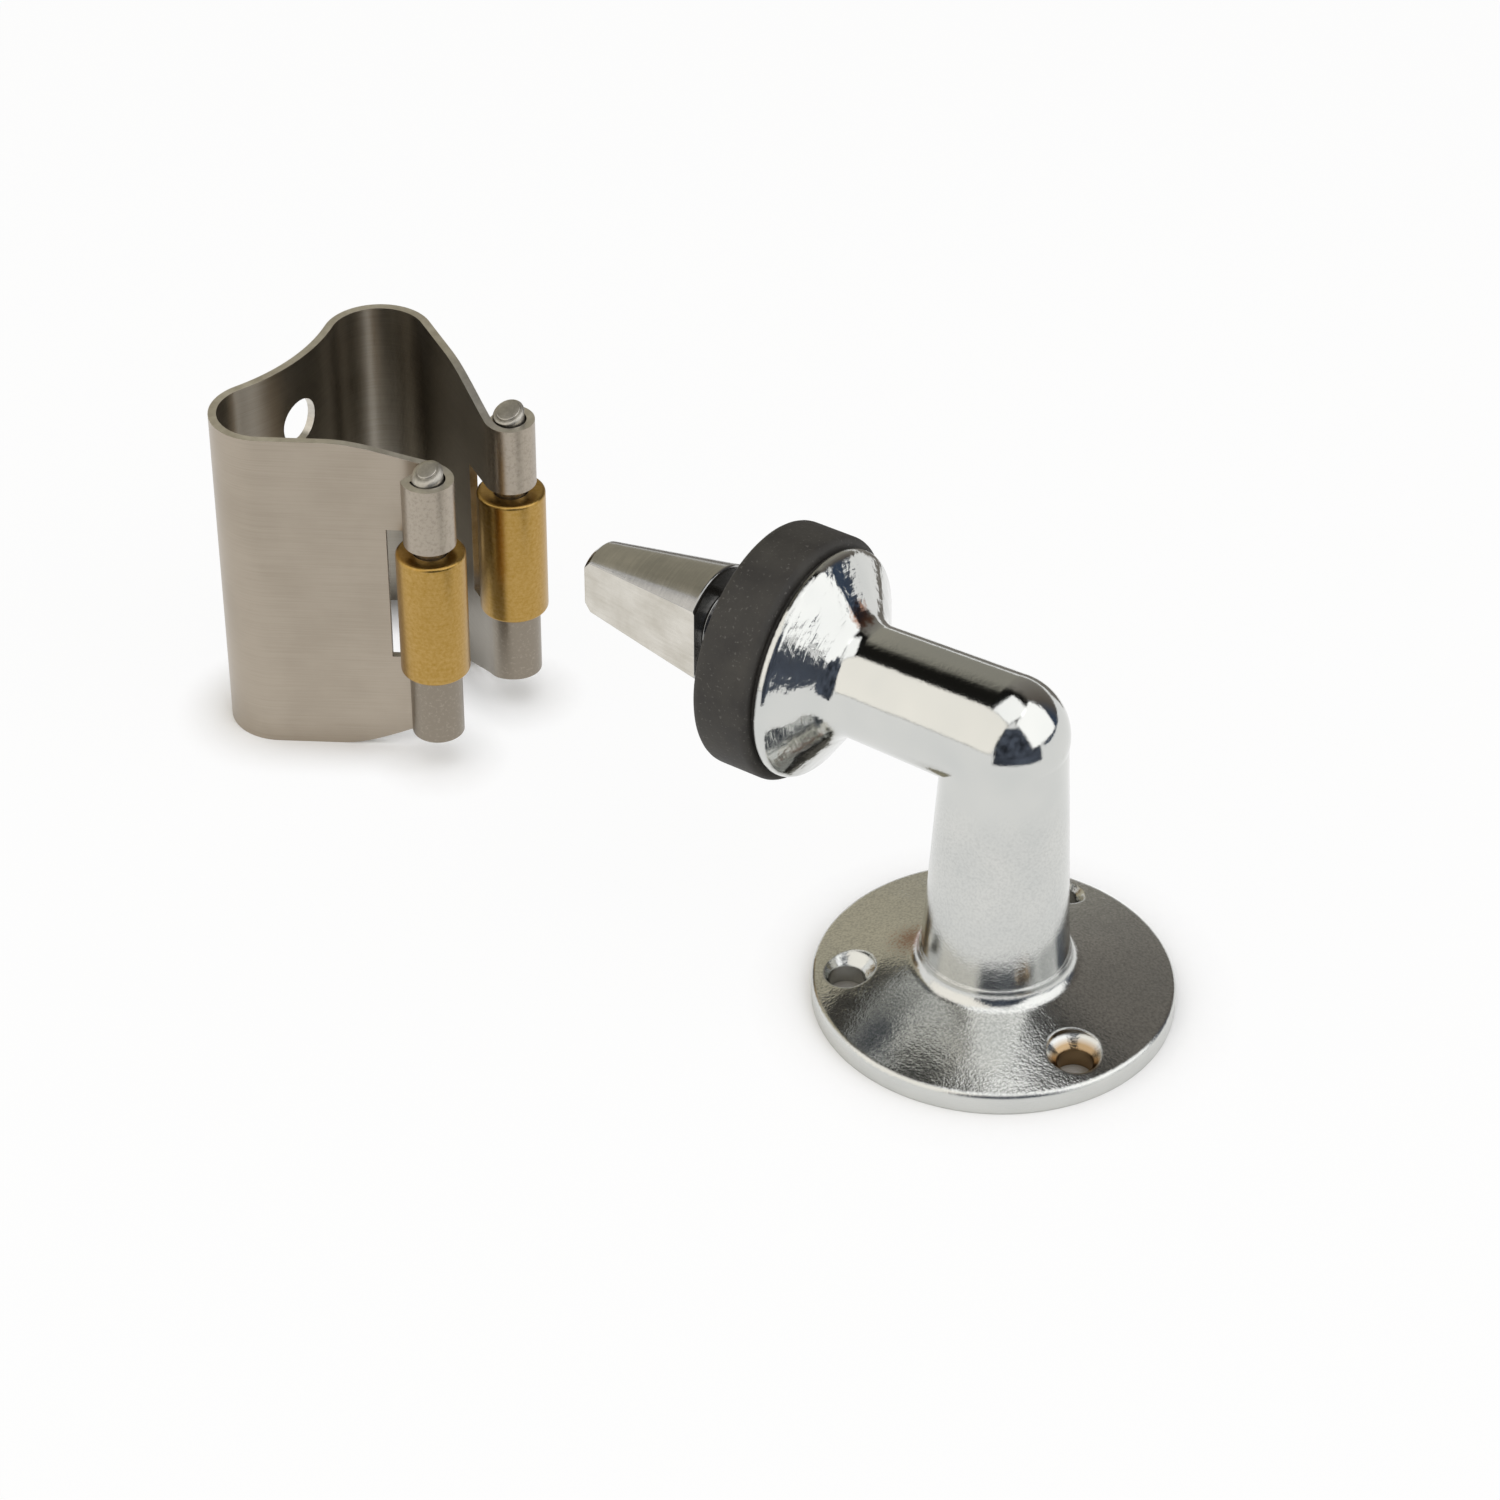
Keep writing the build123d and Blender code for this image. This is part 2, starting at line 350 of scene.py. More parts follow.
def chrome_casting():
    """Chrome plate on a polished casting. The eye sees a mirror with slow waves and a fine orange peel, a
    softer post, the grain of a half polished casting on the base and the dish, plating worn to a tan in
    one screw hole, and brown patches at the foot of the post and where the arm meets the dish."""
    material, tree, shader, place = start_material("chrome plate on a polished casting", {"Metallic": 1.0})
    place = place.outputs["Object"]
    on_base, on_dish, on_post = casting_zones(tree, place)
    coarse = casting_grain(tree, on_base, on_dish, on_post)
    noises = []
    for size, detail in ((wave_size, 1.0), (peel_size, 2.0), (dot_size, 2.0)):
        noise = add(tree, "ShaderNodeTexNoise", {"Scale": 1 / size, "Detail": detail}, {"Vector": place})
        noises.append(noise)
    waves, peel, dots = noises
    base_haze = add(tree, "ShaderNodeMapRange", {"To Min": 0.08, "To Max": 0.12}, {"Value": coarse})
    haze = add(tree, "ShaderNodeMapRange", {"To Max": 0.17}, {"Value": on_post, "To Min": base_haze})
    level = add(tree, "ShaderNodeVectorMath", {1: (1, 1, 0)}, {0: place}, operation="MULTIPLY")
    from_hole = add(tree, "ShaderNodeVectorMath", {1: worn_hole_at}, {0: level}, operation="DISTANCE")
    in_hole = add(
        tree, "ShaderNodeMapRange", {"From Min": 3.7 * mm, "From Max": 3.0 * mm}, {"Value": from_hole},
    )
    plate = add(tree, "ShaderNodeValToRGB", links={"Fac": waves})
    plate.color_ramp.elements[0].color = linear("#C8CAC8")
    plate.color_ramp.elements[1].color = linear("#D8D8D4")
    colour = plate
    for tint, share in (
        ("#6A6C6D", casting_pits(tree, dots, on_base, on_post)),
        ("#AD9472", in_hole),
        ("#8A5634", casting_brown_patches(tree, place, peel, dots)),
    ):
        colour = add(
            tree, "ShaderNodeMix", {"B": linear(tint)}, {"Factor": share, "A": colour}, data_type="RGBA",
        )
    normal = casting_relief(tree, place, waves, peel, dots, coarse, on_dish)
    link(tree, shader, {"Base Color": colour, "Roughness": haze, "Normal": normal})
    return material


def moulded_rubber():
    """Black moulded rubber. The eye sees a matt dark grey with a faint bloom, fine grain and dust."""
    material, tree, shader, place = start_material("moulded black rubber", {"Specular IOR Level": 0.35})
    place = place.outputs["Object"]
    bloom = add(tree, "ShaderNodeTexNoise", {"Scale": 1 / (5 * mm), "Detail": 4.0}, {"Vector": place})
    body = add(tree, "ShaderNodeValToRGB", links={"Fac": bloom})
    body.color_ramp.elements[0].position = 0.35
    body.color_ramp.elements[0].color = linear("#343230")
    body.color_ramp.elements[1].position = 0.7
    body.color_ramp.elements[1].color = linear("#43413D")
    dust = add(tree, "ShaderNodeTexNoise", {"Scale": 1 / (0.45 * mm), "Detail": 1.0}, {"Vector": place})
    specks = add(
        tree, "ShaderNodeMapRange", {"From Min": 0.64, "From Max": 0.74, "To Max": 0.4}, {"Value": dust},
    )
    colour = add(
        tree, "ShaderNodeMix", {"B": linear("#6E6C68")}, {"Factor": specks, "A": body}, data_type="RGBA",
    )
    rough = add(tree, "ShaderNodeMapRange", {"To Min": 0.55, "To Max": 0.75}, {"Value": bloom})
    grain = add(tree, "ShaderNodeTexNoise", {"Scale": 1 / (0.5 * mm), "Detail": 3.0}, {"Vector": place})
    bump = add(tree, "ShaderNodeBump", {"Distance": 0.03 * mm}, {"Height": grain})
    link(tree, shader, {"Base Color": colour, "Roughness": rough, "Normal": bump})
    return material


def worked_metal(name, colours, roughness, line_sizes, line_depth, cloud):
    """A metal with the fine lines of its working and clouded colour. line_sizes is the length of a line
    along each axis, and the lines are drawn coarser than the real ones so that they show."""
    material, tree, shader, place = start_material(name, {"Metallic": 1.0})
    place = place.outputs["Object"]
    stretched = add(
        tree, "ShaderNodeMapping", {"Scale": [1 / size for size in line_sizes]}, {"Vector": place},
    )
    lines = add(tree, "ShaderNodeTexNoise", {"Scale": 1.0, "Detail": 3.0}, {"Vector": stretched})
    clouds = add(
        tree, "ShaderNodeTexNoise", {"Scale": 1 / cloud, "Detail": 5.0, "Roughness": 0.6},
        {"Vector": place},
    )
    both = add(tree, "ShaderNodeMath", {1: 0.35}, {0: lines, 2: clouds}, operation="MULTIPLY_ADD")
    colour = add(tree, "ShaderNodeValToRGB", links={"Fac": both})
    colour.color_ramp.elements[0].position = 0.5
    colour.color_ramp.elements[0].color = linear(colours[0])
    colour.color_ramp.elements[1].position = 0.85
    colour.color_ramp.elements[1].color = linear(colours[1])
    rough = add(
        tree, "ShaderNodeMapRange", {"To Min": roughness[0], "To Max": roughness[1]}, {"Value": clouds},
    )
    bump = add(tree, "ShaderNodeBump", {"Distance": line_depth}, {"Height": lines})
    link(tree, shader, {"Base Color": colour, "Roughness": rough, "Normal": bump})
    return material


def rolled_strip(name, colours):
    """Cold rolled spring steel strip. The eye sees warm satin grey with fine lines along the strip, and
    cooler, duller knuckles where the strip was curled on a tool, the lower ones painted darker as shade."""
    material, tree, shader, place = start_material(name, {"Metallic": 1.0})
    strip = add(
        tree, "ShaderNodeMapping", {"Scale": (1 / (12 * mm), 1 / (0.22 * mm), 1.0)},
        {"Vector": place.outputs["UV"]},
    )
    lines = add(tree, "ShaderNodeTexNoise", {"Scale": 1.0, "Detail": 2.0}, {"Vector": strip})
    clouds = add(
        tree, "ShaderNodeTexNoise", {"Scale": 1 / (9 * mm), "Detail": 4.0},
        {"Vector": place.outputs["Object"]},
    )
    both = add(tree, "ShaderNodeMath", {1: 0.7}, {0: lines, 2: clouds}, operation="MULTIPLY_ADD")
    satin = add(tree, "ShaderNodeValToRGB", links={"Fac": both})
    satin.color_ramp.elements[0].position = 0.65
    satin.color_ramp.elements[0].color = linear(colours[0])
    satin.color_ramp.elements[1].position = 1.0
    satin.color_ramp.elements[1].color = linear(colours[1])
    along = add(tree, "ShaderNodeSeparateXYZ", links={"Vector": place.outputs["UV"]})
    from_middle = add(tree, "ShaderNodeMath", links={0: along.outputs["X"]}, operation="ABSOLUTE")
    on_eye = add(
        tree, "ShaderNodeMapRange", {"From Min": eye_start - 2 * mm, "From Max": eye_start + 2 * mm},
        {"Value": from_middle},
    )
    # Painted shade: the lower knuckles are coloured darker than the upper ones, by height, broken up by
    # scuffs of noise.
    upward = add(
        tree, "ShaderNodeMapRange", {"From Min": window_bottom, "From Max": window_top},
        {"Value": along.outputs["Y"]},
    )
    scuffs = add(
        tree, "ShaderNodeTexNoise", {"Scale": 1 / (0.5 * mm), "Detail": 3.0, "Roughness": 0.65},
        {"Vector": place.outputs["Object"]},
    )
    scuffed = add(
        tree, "ShaderNodeMapRange", {"From Min": 0.3, "From Max": 0.7, "To Min": -0.6, "To Max": 0.45},
        {"Value": scuffs},
    )
    knuckle_painted_shade = add(tree, "ShaderNodeMath", links={0: upward, 1: scuffed}, use_clamp=True)
    eye = add(
        tree, "ShaderNodeMix", {"A": linear("#8F8679"), "B": linear("#AFA597")},
        {"Factor": knuckle_painted_shade}, data_type="RGBA",
    )
    colour = add(tree, "ShaderNodeMix", links={"Factor": on_eye, "A": satin, "B": eye}, data_type="RGBA")
    rough = add(tree, "ShaderNodeMapRange", {"To Min": 0.26, "To Max": 0.34}, {"Value": both})
    bump = add(tree, "ShaderNodeBump", {"Distance": 0.0035 * mm}, {"Height": lines})
    link(tree, shader, {"Base Color": colour, "Roughness": rough, "Normal": bump})
    return material


# Mesh making

def make_piece(name, bm, *materials):
    """An object in the scene with a finished mesh and its materials."""
    mesh = bpy.data.meshes.new(name)
    bm.to_mesh(mesh)
    bm.free()
    piece = bpy.data.objects.new(name, mesh)
    bpy.context.scene.collection.objects.link(piece)
    for material in materials:
        mesh.materials.append(material)
    return piece


def round_edges(piece, width, least_angle):
    """Rounds the sharp edges of a piece, with hard normals on the faces between them."""
    bevel = piece.modifiers.new("rounded edges", "BEVEL")
    bevel.width = width
    bevel.segments = edge_steps
    bevel.limit_method = "ANGLE"
    bevel.angle_limit = least_angle
    bevel.harden_normals = True


def keep_result(piece):
    """Turns a piece and its modifiers into a plain mesh."""
    evaluated = piece.evaluated_get(bpy.context.evaluated_depsgraph_get())
    mesh = bpy.data.meshes.new_from_object(evaluated)
    piece.modifiers.clear()
    plain = piece.data
    piece.data = mesh
    bpy.data.meshes.remove(plain)
    mesh.name = piece.name


def spread(first, last, steps):
    """Evenly spaced values from first up to, but without, last."""
    return [first + (last - first) * k / steps for k in range(steps)]


def rounded_outline(corners):
    """Points of a closed outline whose corners are rounded. A corner is a point and its radius."""
    points = []
    for i, (corner, radius) in enumerate(corners):
        corner = Vector(corner)
        to_last = (Vector(corners[i - 1][0]) - corner).normalized()
        to_next = (Vector(corners[(i + 1) % len(corners)][0]) - corner).normalized()
        if radius == 0:
            points.append(corner)
            continue
        half = to_last.angle(to_next) / 2
        centre = corner + (to_last + to_next).normalized() * radius / sin(half)
        first = corner + to_last * radius / tan(half) - centre
        last = corner + to_next * radius / tan(half) - centre
        for k in range(round_steps + 1):
            points.append(centre + first.slerp(last, k / round_steps).normalized() * radius)
    return points


def turn_outline(outline, centre, axis, across, steps=turn_steps):
    """A mesh turned about an axis: an outline of points along the axis and away from it, closed."""
    bm = bmesh.new()
    up = axis.cross(across)
    rings = []
    for along, radius in outline:
        ring = []
        for k in range(steps):
            angle = 2 * pi * k / steps
            way = across * cos(angle) + up * sin(angle)
            ring.append(bm.verts.new(centre + axis * along + way * radius))
        rings.append(ring)
    for ring, following in zip(rings, rings[1:] + rings[:1]):
        for k in range(steps):
            bm.faces.new((ring[k], ring[k - 1], following[k - 1], following[k]))
    bmesh.ops.remove_doubles(bm, verts=bm.verts, dist=merge_distance)
    bmesh.ops.recalc_face_normals(bm, faces=bm.faces)
    for face in bm.faces:
        face.smooth = True
    return bm


# Rubber buffer

def make_buffer():
    """The rubber ring, stepped at the back, with rounded edges."""
    bore_r = neck_r + neck_clearance
    step_r = buffer_r - buffer_back_round - buffer_step_margin
    outline = rounded_outline((
        ((buffer_back, bore_r), 0),
        ((buffer_back, step_r), 0),
        ((buffer_back + buffer_step, step_r), 0),
        ((buffer_back + buffer_step, buffer_r), buffer_back_round),
        ((buffer_front, buffer_r), buffer_front_round),
        ((buffer_front, bore_r), buffer_bore_round),
    ))
    bm = turn_outline(outline, Vector((0, 0, arm_height)), Vector((1, 0, 0)), Vector((0, 1, 0)))
    piece = make_piece("rubber_buffer", bm, moulded_rubber())
    piece.data.set_sharp_from_angle(angle=rubber_sharp)
    return piece


# Latch head

def head_radius(x):
    """The turned radius of the head at a place along the arm."""
    cone_from = head_back + head_back_chamfer
    cone_to = head_tip - head_tip_chamfer
    if x < cone_from:
        return head_back_r - (cone_from - x)
    if x > cone_to:
        return head_tip_r - (x - cone_to)
    return head_back_r + (head_tip_r - head_back_r) * (x - cone_from) / (cone_to - cone_from)


def head_section(x):
    """Points across the head: an arc over the top, a flat, an arc underneath and the other flat."""
    radius = head_radius(x)
    share = (x - head_back) / head_length
    half_width = head_back_half_width + (head_tip_half_width - head_back_half_width) * share
    half_width = min(half_width, radius)
    reach = asin(half_width / radius)
    flat = radius * cos(reach)
    half = []
    for k in range(head_arc_steps):
        angle = reach * (2 * k / head_arc_steps - 1)
        half.append(Vector((radius * sin(angle), radius * cos(angle))))
    for k in range(head_flat_steps):
        half.append(Vector((half_width, flat * (1 - 2 * k / head_flat_steps))))
    return half + [-point for point in half]


def make_head():
    """The turned head with its two milled flats, its neck and its stud."""
    cone_from = head_back + head_back_chamfer
    cone_to = head_tip - head_tip_chamfer
    stations = [head_back]
    stations += spread(cone_from, cone_to, head_along_steps)
    stations += [cone_to, head_tip]
    sections = [(x, head_section(x)) for x in stations]
    around = [point.normalized() for point in sections[0][1]]
    round_rings = (
        (stud_end, stud_r - stud_chamfer), (stud_end + stud_chamfer, stud_r), (buffer_back, stud_r),
        (buffer_back, neck_r), (head_back, neck_r),
    )
    sections = [(x, [point * radius for point in around]) for x, radius in round_rings] + sections

    bm = bmesh.new()
    rings = []
    for x, section in sections:
        rings.append([bm.verts.new((x, point.x, arm_height + point.y)) for point in section])
    count = len(around)
    head_from = len(round_rings)
    for i, (ring, following) in enumerate(zip(rings, rings[1:])):
        for k in range(count):
            face = bm.faces.new((ring[k], ring[(k + 1) % count], following[(k + 1) % count], following[k]))
            on_flat = k % (head_arc_steps + head_flat_steps) >= head_arc_steps
            face.material_index = 1 if i >= head_from and on_flat else 0
    bm.faces.new(rings[0])
    bm.faces.new(rings[-1])
    bmesh.ops.recalc_face_normals(bm, faces=bm.faces)
    for face in bm.faces:
        face.smooth = True
    # The turned surface is coloured darker than the milled flats: partly the two finishes, partly painted
    # shade for the head's darker top.
    turned = worked_metal(
        "nickel plated steel, turned", ("#9B9B9A", "#B2B1AF"), (0.12, 0.2),
        (0.35 * mm, 14 * mm, 14 * mm), 0.006 * mm, 6 * mm,
    )
    milled = worked_metal(
        "nickel plated steel, milled", ("#C6C1B6", "#DAD6CD"), (0.18, 0.28),
        (12 * mm, 1 * mm, 0.4 * mm), 0.006 * mm, 5 * mm,
    )
    piece = make_piece("plated_latch_head", bm, turned, milled)
    round_edges(piece, head_edge, head_round_from)
    keep_result(piece)
    return piece


# Plan of the clip, from the middle of its back to the end of one eye, along the middle of the sheet

def arc(centre, radius, start, turn):
    """A round stretch of the plan: its length, and a function for the point at a share of it."""
    def at(share):
        angle = start + share * turn
        return centre + radius * Vector((cos(angle), sin(angle)))
    return radius * abs(turn), at


def straight(first, last):
    """A straight stretch of the plan."""
    return (last - first).length, lambda share: first.lerp(last, share)


eye_mid_r = pin_r + eye_clearance + sheet / 2
lobe_mid_r = lobe_r - sheet / 2
eye_centre = Vector((0, left_pin_at.y - clip_y))
lobe_centre = Vector((clip_depth - lobe_r, clip_half_width - lobe_r))
eye_to_lobe = lobe_centre - eye_centre
arm_angle = atan2(eye_to_lobe.y, eye_to_lobe.x) + asin((eye_mid_r + lobe_mid_r) / eye_to_lobe.length)
arm_across = Vector((-sin(arm_angle), cos(arm_angle)))
arm_from_eye = eye_centre - arm_across * eye_mid_r
arm_to_lobe = lobe_centre + arm_across * lobe_mid_r
back_middle = clip_depth - back_dip - sheet / 2
back_reach = back_middle - lobe_centre.x
bow_mid_r = (back_reach**2 + lobe_centre.y**2 - lobe_mid_r**2) / (2 * (lobe_mid_r - back_reach))
bow_angle = atan2(lobe_centre.y, back_reach + bow_mid_r)
bow_centre = Vector((back_middle + bow_mid_r, 0))
plan = (
    arc(bow_centre, bow_mid_r, pi, -bow_angle),
    arc(lobe_centre, lobe_mid_r, -bow_angle, arm_angle + pi / 2 + bow_angle),
    straight(arm_to_lobe, arm_from_eye),
    arc(eye_centre, eye_mid_r, arm_angle - pi / 2, -eye_wrap),
)
bow_length, lobe_length, arm_length, eye_length = [length for length, at in plan]
eye_start = bow_length + lobe_length + arm_length


def plan_point(along):
    """The plan's point at a distance along the strip from the middle of the back, either way."""
    left = abs(along)
    for length, at in plan:
        if left <= length:
            break
        left -= length
    point = at(min(left / length, 1.0))
    return Vector((point.x, point.y if along >= 0 else -point.y))


# Heights in the clip
window_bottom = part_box("left_roller")[0].z - roller_end_clearance
window_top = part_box("left_roller")[1].z + roller_end_clearance + roller_end_play
window_depth = roller_r + window_margin
upper_hole_z = clip_height / 2 + clip_screw_spacing / 2
lower_hole_z = clip_height / 2 - clip_screw_spacing / 2
hole_patch = upper_hole_z - window_top


def strip_columns():
    """Distances along the strip at which its mesh has a column, from one eye's end to the other."""
    window_share = (arm_to_lobe.x - window_depth) / (arm_to_lobe.x - arm_from_eye.x)
    window_from = bow_length + lobe_length + arm_length * window_share
    half = spread(0, hole_patch, hole_patch_steps // 2)
    half += spread(hole_patch, bow_length, bow_steps)
    half += spread(bow_length, bow_length + lobe_length, lobe_steps)
    half += spread(bow_length + lobe_length, window_from, arm_steps)
    half += spread(window_from, eye_start, window_steps)
    half += spread(eye_start, eye_start + eye_length, eye_steps)
    half.append(eye_start + eye_length)
    return [-along for along in reversed(half[1:])] + half


def strip_rows(along):
    """Heights of the mesh's rows at a place along the strip, and which of its bands each row belongs to.
    The strip's edges taper smoothly to the eyes, and are level from the front of the eye to its end."""
    depth = plan_point(along).x
    share = min(max((taper_start - depth) / (taper_start - taper_end), 0), 1)
    share = share * share * (3 - 2 * share)
    if abs(along) > eye_start + eye_mid_r * pi / 2:
        share = 1
    bands = (
        (eye_bottom * share, lower_hole_z - hole_patch, edge_rows, "edge"),
        (lower_hole_z - hole_patch, lower_hole_z + hole_patch, hole_patch_steps, "hole"),
        (lower_hole_z + hole_patch, window_bottom, plain_rows, "plain"),
        (window_bottom, window_top, window_rows, "window"),
        (window_top, upper_hole_z + hole_patch, hole_patch_steps, "hole"),
        (upper_hole_z + hole_patch, clip_height + (eye_top - clip_height) * share, edge_rows, "edge"),
    )
    heights, kinds = [], []
    for low, high, steps, kind in bands:
        heights += spread(low, high, steps)
        kinds += [kind] * steps
    return heights + [bands[-1][1]], kinds


def make_clip():
    """The spring clip: a strip folded along its plan, with roller windows and screw holes."""
    bm = bmesh.new()
    flat = {}

    def strip_vertex(along, height):
        point = plan_point(along)
        vertex = bm.verts.new((clip_x + point.x, clip_y + point.y, height))
        flat[vertex] = (along, height)
        return vertex

    columns = strip_columns()
    depths = [plan_point(along).x for along in columns]
    middle_rows, kinds = strip_rows(0)
    in_hole = [abs(along) < hole_patch + slack for along in columns]
    in_window = [
        abs(along) > eye_start - arm_length / 2 and depth < window_depth + slack
        for along, depth in zip(columns, depths)
    ]
    grid = []
    for i, along in enumerate(columns):
        column = []
        at_border = 0 < i < len(columns) - 1 and in_window[i - 1] != in_window[i + 1]
        for j, height in enumerate(strip_rows(along)[0]):
            beside = (kinds[j - 1], kinds[min(j, len(kinds) - 1)])
            cut_away = in_window[i] and not at_border and beside == ("window", "window")
            column.append(None if cut_away else strip_vertex(along, height))
        grid.append(column)
    for i in range(len(columns) - 1):
        for j, kind in enumerate(kinds):
            if kind == "window" and in_window[i] and in_window[i + 1]:
                continue
            if kind == "hole" and in_hole[i] and in_hole[i + 1]:
                continue
            bm.faces.new((grid[i][j], grid[i + 1][j], grid[i + 1][j + 1], grid[i][j + 1]))
    first = in_hole.index(True)
    last = first + hole_patch_steps
    for centre_height in (lower_hole_z, upper_hole_z):
        bottom = centre_height - hole_patch
        low = min(range(len(middle_rows)), key=lambda j: abs(middle_rows[j] - bottom))
        high = low + hole_patch_steps
        border = [grid[i][low] for i in range(first, last)]
        border += [grid[last][j] for j in range(low, high)]
        border += [grid[i][high] for i in range(last, first, -1)]
        border += [grid[first][j] for j in range(high, low, -1)]
        centre = Vector((0, centre_height))
        ring = border
        for k in range(1, hole_rings + 1):
            inner = []
            for vertex in border:
                outer_point = Vector(flat[vertex])
                hole_point = centre + (outer_point - centre).normalized() * clip_screw_r
                inner.append(strip_vertex(*outer_point.lerp(hole_point, k / hole_rings)))
            for m in range(len(ring)):
                bm.faces.new((ring[m - 1], ring[m], inner[m], inner[m - 1]))
            ring = inner
    for column in range(first + 1, last):
        for vertex in grid[column]:
            if vertex and not vertex.link_faces:
                bm.verts.remove(vertex)
    bmesh.ops.recalc_face_normals(bm, faces=bm.faces)
    uv = bm.loops.layers.uv.new("strip")
    for face in bm.faces:
        face.smooth = True
        for loop in face.loops:
            loop[uv].uv = flat[loop.vert]
    # The sheared edge is coloured much lighter than the strip: partly its bare steel, partly a painted
    # highlight along the rounded edges.
    bare_edge_and_painted_highlight = worked_metal(
        "spring steel, sheared edge", ("#C4BFB5", "#E0DCD3"), (0.32, 0.46),
        (1.2 * mm, 1.2 * mm, 0.3 * mm), 0.01 * mm, 3 * mm,
    )
    outside = rolled_strip("cold rolled spring steel strip", ("#A79C8D", "#B0A596"))
    # The inside is a darker copy of the outside strip: painted shade for the hollow of the clip.
    inside_painted_shade = rolled_strip("cold rolled spring steel strip, inside", ("#989287", "#A59F94"))
    piece = make_piece("spring_clip_strip", bm, outside, bare_edge_and_painted_highlight, inside_painted_shade)
    wall = piece.modifiers.new("sheet", "SOLIDIFY")
    wall.thickness = sheet
    wall.offset = 0
    wall.use_even_offset = True
    wall.material_offset = 2
    wall.material_offset_rim = 1
    round_edges(piece, sheet_edge, sheet_round_from)
    keep_result(piece)
    return piece


# Pins

def make_pin(name, node, material, nib_share):
    """A drawn pin, chamfered below, whose upper end is cropped on a slant and has a nib left by the tool.
    nib_share is the nib's part of the pin's radius."""
    low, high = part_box(node)
    middle = (low + high) / 2
    cut_height = high.z - pin_r * tan(pin_slant)
    length = cut_height - low.z
    shoulder = pin_r * (1 - nib_share) * pin_shoulder_share
    nib_r = pin_r * nib_share
    nib_top = length + pin_nib_height
    outline = rounded_outline((
        ((0, 0), 0),
        ((0, pin_r), pin_chamfer),
        ((length - 2 * shoulder, pin_r), 0),
        ((length, pin_r), shoulder),
        ((length, nib_r), 0),
        ((nib_top, nib_r), pin_nib_round),
        ((nib_top, 0), 0),
    ))
    base = Vector((middle.x, middle.y, low.z))
    bm = turn_outline(outline, base, Vector((0, 0, 1)), Vector((1, 0, 0)), pin_turn_steps)
    slanted_from = low.z + length - 1.5 * shoulder
    for vertex in bm.verts:
        if vertex.co.z > slanted_from:
            vertex.co.z -= tan(pin_slant) * (vertex.co.y - middle.y)
    bmesh.ops.recalc_face_normals(bm, faces=bm.faces)
    piece = make_piece(name, bm, material)
    piece.data.set_sharp_from_angle(angle=pin_sharp)
    return piece


# Rollers

def roller_tree():
    """Geometry nodes for a turned roller: a rounded section swept round the pin's axis."""
    tree = bpy.data.node_groups.new("turned roller", "GeometryNodeTree")
    tree.interface.new_socket("Geometry", in_out="OUTPUT", socket_type="NodeSocketGeometry")
    for name in ("Outer Radius", "Bore Radius", "Length", "Edge Round"):
        tree.interface.new_socket(name, in_out="INPUT", socket_type="NodeSocketFloat")
    tree.interface.new_socket("Middle", in_out="INPUT", socket_type="NodeSocketVector")
    tree.interface.new_socket("Material", in_out="INPUT", socket_type="NodeSocketMaterial")
    sizes = add(tree, "NodeGroupInput").outputs
    sum_r = add(tree, "ShaderNodeMath", links={0: sizes["Outer Radius"], 1: sizes["Bore Radius"]})
    mean_r = add(tree, "ShaderNodeMath", {1: 0.5}, {0: sum_r}, operation="MULTIPLY")
    wall = add(
        tree, "ShaderNodeMath", links={0: sizes["Outer Radius"], 1: sizes["Bore Radius"]},
        operation="SUBTRACT",
    )
    path = add(tree, "GeometryNodeCurvePrimitiveCircle", {"Resolution": turn_steps}, {"Radius": mean_r})
    section = add(
        tree, "GeometryNodeCurvePrimitiveQuadrilateral", links={"Width": wall, "Height": sizes["Length"]},
    )
    rounded = add(
        tree, "GeometryNodeFilletCurve", {"Count": round_steps},
        {"Curve": section, "Radius": sizes["Edge Round"]}, mode="POLY",
    )
    swept = add(tree, "GeometryNodeCurveToMesh", links={"Curve": path, "Profile Curve": rounded})
    placed = add(tree, "GeometryNodeTransform", links={"Geometry": swept, "Translation": sizes["Middle"]})
    smooth = add(tree, "GeometryNodeSetShadeSmooth", links={"Geometry": placed})
    realized = add(tree, "GeometryNodeRealizeInstances", links={"Geometry": smooth})
    finished = add(
        tree, "GeometryNodeSetMaterial", links={"Geometry": realized, "Material": sizes["Material"]},
    )
    add(tree, "NodeGroupOutput", links={"Geometry": finished})
    return tree


def make_roller(name, node, tree, material):
    """A brass roller on its pin."""
    piece = make_piece(name, bmesh.new())
    turning = piece.modifiers.new("turned roller", "NODES")
    turning.node_group = tree
    sizes = {
        "Outer Radius": roller_r,
        "Bore Radius": pin_r + roller_bore_clearance,
        "Length": 2 * half_size_of(node).z,
        "Edge Round": roller_edge,
        "Middle": centre_of(node),
        "Material": material,
    }
    for socket in tree.interface.items_tree:
        if socket.in_out == "INPUT":
            turning[socket.identifier] = sizes[socket.name]
    keep_result(piece)
    return piece


# Studio

def card(name, middle, facing, width, height, material):
    """A card beside the set, out of the camera's sight, for the polished metal to reflect."""
    bm = bmesh.new()
    bmesh.ops.create_grid(bm, x_segments=1, y_segments=1, size=0.5)
    turn = Vector(facing).to_track_quat("Z", "Y").to_matrix().to_4x4()
    bmesh.ops.transform(
        bm, verts=bm.verts,
        matrix=Matrix.Translation(middle) @ turn @ Matrix.Diagonal((width, height, 1, 1)),
    )
    piece = make_piece(name, bm, material)
    piece.visible_camera = False


def lamp_housing():
    """Painted steel, matt. The eye sees black round each lamp's edge."""
    material = bpy.data.materials.new("black painted lamp housing")
    material.use_nodes = True
    shader = material.node_tree.nodes["Principled BSDF"]
    shader.inputs["Base Color"].default_value = linear("#0A0A0A")
    shader.inputs["Roughness"].default_value = 0.9
    return material


